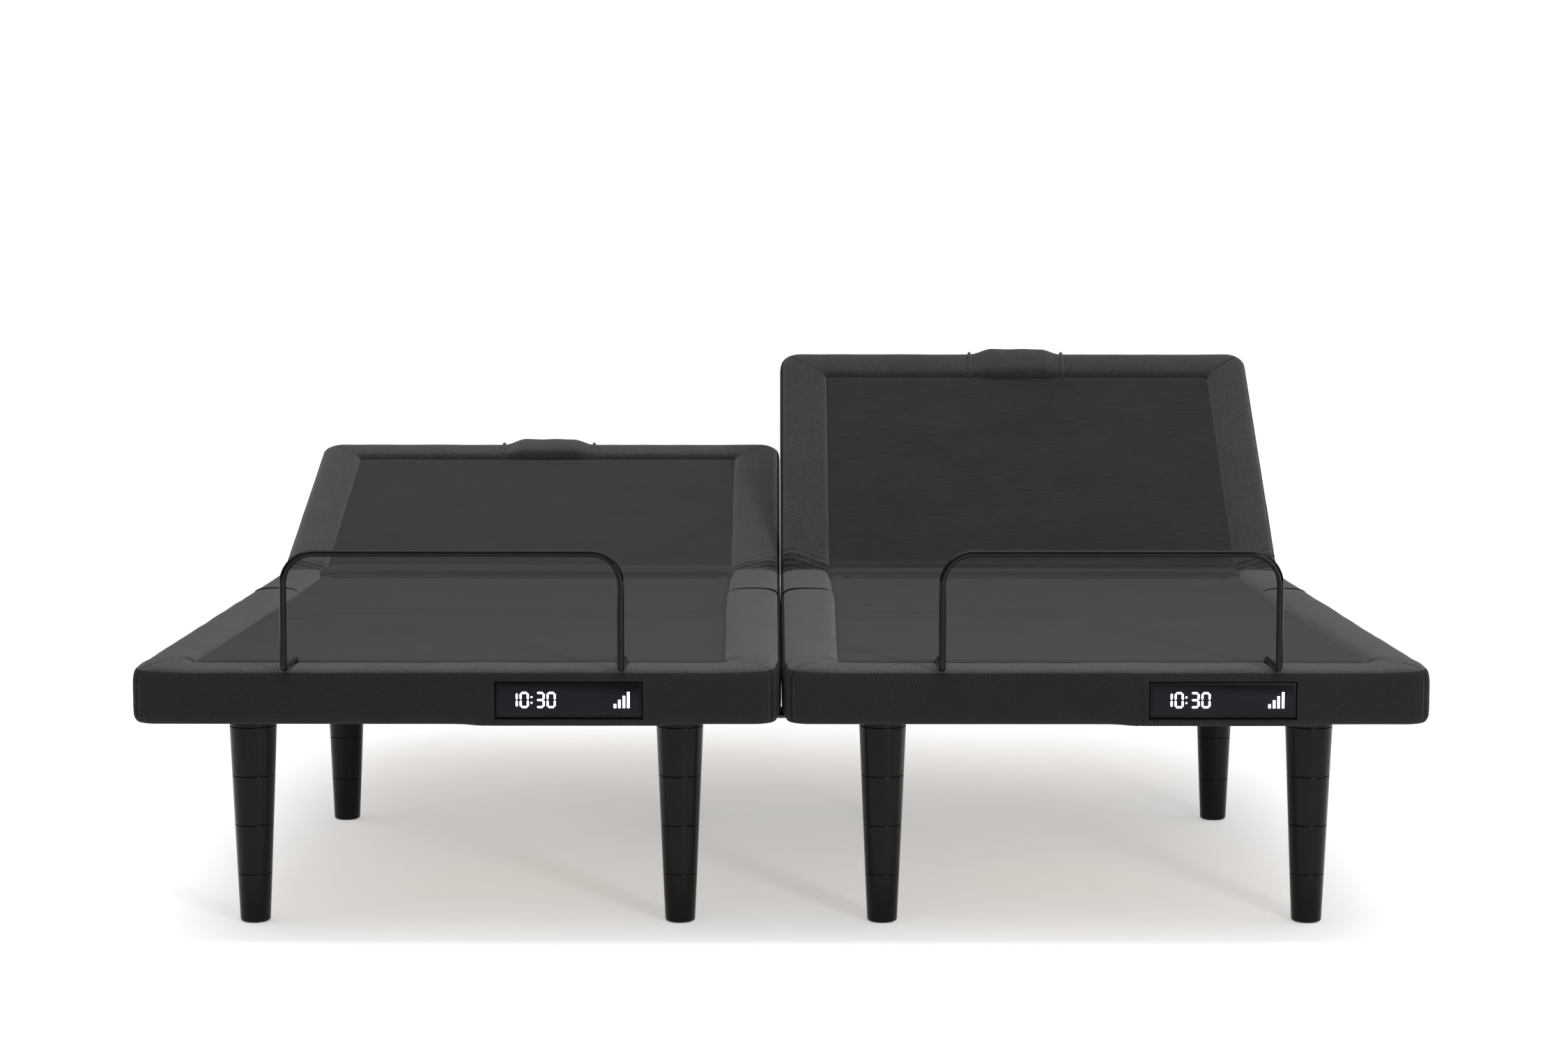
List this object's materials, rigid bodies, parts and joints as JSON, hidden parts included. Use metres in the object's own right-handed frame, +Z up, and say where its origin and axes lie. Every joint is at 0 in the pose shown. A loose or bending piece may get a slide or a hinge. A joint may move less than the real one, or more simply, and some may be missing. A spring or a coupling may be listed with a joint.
{
  "type": "adjustable bed base",
  "caption": "Split adjustable bed base with upholstered decks on stacked round legs, powered head and leg lifts, mattress retainer bars and front displays.",
  "frame": {"origin": "on the floor under the middle of the pair's overall width and length", "axes": "+X to the right seen from the foot end, +Y towards the head end, +Z up"},
  "size_m": [1.922, 2.0557, 0.8384],
  "materials": {
    "border_fabric": "matte",
    "face_fabric": "matte",
    "deck_fabric": "matte",
    "plywood": "matte",
    "frame_steel": "satin",
    "bar_steel": "gloss",
    "zinc_steel": "satin",
    "leg_plastic": "satin",
    "motor_case": "matte",
    "box_plastic": "matte",
    "display_case": "gloss"
  },
  "bodies": {
    "chassis": {"foot_tie_plate": "zinc_steel", "head_tie_plate": "zinc_steel", "left_outer_rail": "frame_steel", "left_inner_rail": "frame_steel", "left_foot_crossbar": "frame_steel", "left_middle_crossbar": "frame_steel", "left_head_crossbar": "frame_steel", "left_foot_outer_leg": "leg_plastic", "left_foot_inner_leg": "leg_plastic", "left_head_outer_leg": "leg_plastic", "left_head_inner_leg": "leg_plastic", "left_control_box": "box_plastic", "left_seat_board": "plywood", "left_seat_cover": "border_fabric", "right_outer_rail": "frame_steel", "right_inner_rail": "frame_steel", "right_foot_crossbar": "frame_steel", "right_middle_crossbar": "frame_steel", "right_head_crossbar": "frame_steel", "right_foot_outer_leg": "leg_plastic", "right_foot_inner_leg": "leg_plastic", "right_head_outer_leg": "leg_plastic", "right_head_inner_leg": "leg_plastic", "right_control_box": "box_plastic", "right_seat_board": "plywood", "right_seat_cover": "border_fabric"},
    "left_head_deck": {"left_head_board": "plywood", "left_head_cover": "border_fabric", "left_head_centre_pad": "border_fabric", "left_head_lift_bracket": "frame_steel"},
    "left_thigh_deck": {"left_thigh_board": "plywood", "left_thigh_cover": "deck_fabric", "left_thigh_lift_bracket": "frame_steel"},
    "left_foot_deck": {"left_foot_board": "plywood", "left_foot_cover": "face_fabric", "left_foot_link_bracket": "frame_steel", "left_retainer_bar": "bar_steel", "left_display": "display_case"},
    "left_head_motor": {"left_head_actuator": "motor_case"},
    "left_head_rod": {"left_head_actuator_rod": "zinc_steel"},
    "left_leg_motor": {"left_leg_actuator": "motor_case"},
    "left_leg_rod": {"left_leg_actuator_rod": "zinc_steel"},
    "left_link": {"left_foot_link": "zinc_steel"},
    "right_head_deck": {"right_head_board": "plywood", "right_head_cover": "border_fabric", "right_head_centre_pad": "border_fabric", "right_head_lift_bracket": "frame_steel"},
    "right_thigh_deck": {"right_thigh_board": "plywood", "right_thigh_cover": "deck_fabric", "right_thigh_lift_bracket": "frame_steel"},
    "right_foot_deck": {"right_foot_board": "plywood", "right_foot_cover": "face_fabric", "right_foot_link_bracket": "frame_steel", "right_retainer_bar": "bar_steel", "right_display": "display_case"},
    "right_head_motor": {"right_head_actuator": "motor_case"},
    "right_head_rod": {"right_head_actuator_rod": "zinc_steel"},
    "right_leg_motor": {"right_leg_actuator": "motor_case"},
    "right_leg_rod": {"right_leg_actuator_rod": "zinc_steel"},
    "right_link": {"right_foot_link": "zinc_steel"}
  },
  "joints": [
    {"name": "left_head_lift", "type": "hinge", "parent": "chassis", "child": "left_head_deck", "pos_m": [-0.4825, 0.398, 0.4], "axis": [1, 0, 0], "range_deg": [-19.3, 40.7]},
    {"name": "left_head_motor_swing", "type": "hinge", "parent": "chassis", "child": "left_head_motor", "pos_m": [-0.4125, -0.071, 0.33], "axis": [1, 0, 0], "range_deg": [-1.71, 3.55]},
    {"name": "left_head_rod_slide", "type": "slide", "parent": "left_head_motor", "child": "left_head_rod", "axis": [0, 0.9997, -0.0232], "range_m": [-0.02572, 0.05368]},
    {"name": "left_thigh_lift", "type": "hinge", "parent": "chassis", "child": "left_thigh_deck", "pos_m": [-0.4825, 0.059, 0.4], "axis": [-1, 0, 0], "range_deg": [0, 35]},
    {"name": "left_knee", "type": "hinge", "parent": "left_thigh_deck", "child": "left_foot_deck", "pos_m": [-0.4825, -0.283, 0.4], "axis": [1, 0, 0], "range_deg": [-0.05, 42.05]},
    {"name": "left_leg_motor_swing", "type": "hinge", "parent": "chassis", "child": "left_leg_motor", "pos_m": [-0.5525, 0.369, 0.31], "axis": [-1, 0, 0], "range_deg": [-0.05, 4.3]},
    {"name": "left_leg_rod_slide", "type": "slide", "parent": "left_leg_motor", "child": "left_leg_rod", "axis": [0, -1, -0.0044], "range_m": [-0.0005, 0.0496]},
    {"name": "left_link_swing", "type": "hinge", "parent": "chassis", "child": "left_link", "pos_m": [-0.4825, -0.101, 0.362], "axis": [-1, 0, 0], "range_deg": [-0.05, 37.4]},
    {"name": "right_head_lift", "type": "hinge", "parent": "chassis", "child": "right_head_deck", "pos_m": [0.4825, 0.398, 0.4], "axis": [1, 0, 0], "range_deg": [-39.9, 20.1]},
    {"name": "right_head_motor_swing", "type": "hinge", "parent": "chassis", "child": "right_head_motor", "pos_m": [0.5525, -0.071, 0.33], "axis": [1, 0, 0], "range_deg": [-3.48, 1.78]},
    {"name": "right_head_rod_slide", "type": "slide", "parent": "right_head_motor", "child": "right_head_rod", "axis": [0, 1, 0.0077], "range_m": [-0.05263, 0.02676]},
    {"name": "right_thigh_lift", "type": "hinge", "parent": "chassis", "child": "right_thigh_deck", "pos_m": [0.4825, 0.059, 0.4], "axis": [-1, 0, 0], "range_deg": [0, 35]},
    {"name": "right_knee", "type": "hinge", "parent": "right_thigh_deck", "child": "right_foot_deck", "pos_m": [0.4825, -0.283, 0.4], "axis": [1, 0, 0], "range_deg": [-0.05, 42.05]},
    {"name": "right_leg_motor_swing", "type": "hinge", "parent": "chassis", "child": "right_leg_motor", "pos_m": [0.4125, 0.369, 0.31], "axis": [-1, 0, 0], "range_deg": [-0.05, 4.3]},
    {"name": "right_leg_rod_slide", "type": "slide", "parent": "right_leg_motor", "child": "right_leg_rod", "axis": [0, -1, -0.0044], "range_m": [-0.0005, 0.0496]},
    {"name": "right_link_swing", "type": "hinge", "parent": "chassis", "child": "right_link", "pos_m": [0.4825, -0.101, 0.362], "axis": [-1, 0, 0], "range_deg": [-0.05, 37.4]}
  ],
  "couplings": [
    {"joint": "left_head_motor_swing", "follows": "left_head_lift", "ratio": 0.0859},
    {"joint": "left_head_rod_slide", "follows": "left_head_lift", "m_per_rad": 0.07486},
    {"joint": "left_knee", "follows": "left_thigh_lift", "ratio": 1.2},
    {"joint": "left_leg_motor_swing", "follows": "left_thigh_lift", "ratio": 0.1211},
    {"joint": "left_leg_rod_slide", "follows": "left_thigh_lift", "m_per_rad": 0.08041},
    {"joint": "left_link_swing", "follows": "left_thigh_lift", "ratio": 1.066},
    {"joint": "right_head_motor_swing", "follows": "right_head_lift", "ratio": 0.0859},
    {"joint": "right_head_rod_slide", "follows": "right_head_lift", "m_per_rad": 0.07486},
    {"joint": "right_knee", "follows": "right_thigh_lift", "ratio": 1.2},
    {"joint": "right_leg_motor_swing", "follows": "right_thigh_lift", "ratio": 0.1211},
    {"joint": "right_leg_rod_slide", "follows": "right_thigh_lift", "m_per_rad": 0.08041},
    {"joint": "right_link_swing", "follows": "right_thigh_lift", "ratio": 1.066}
  ]
}
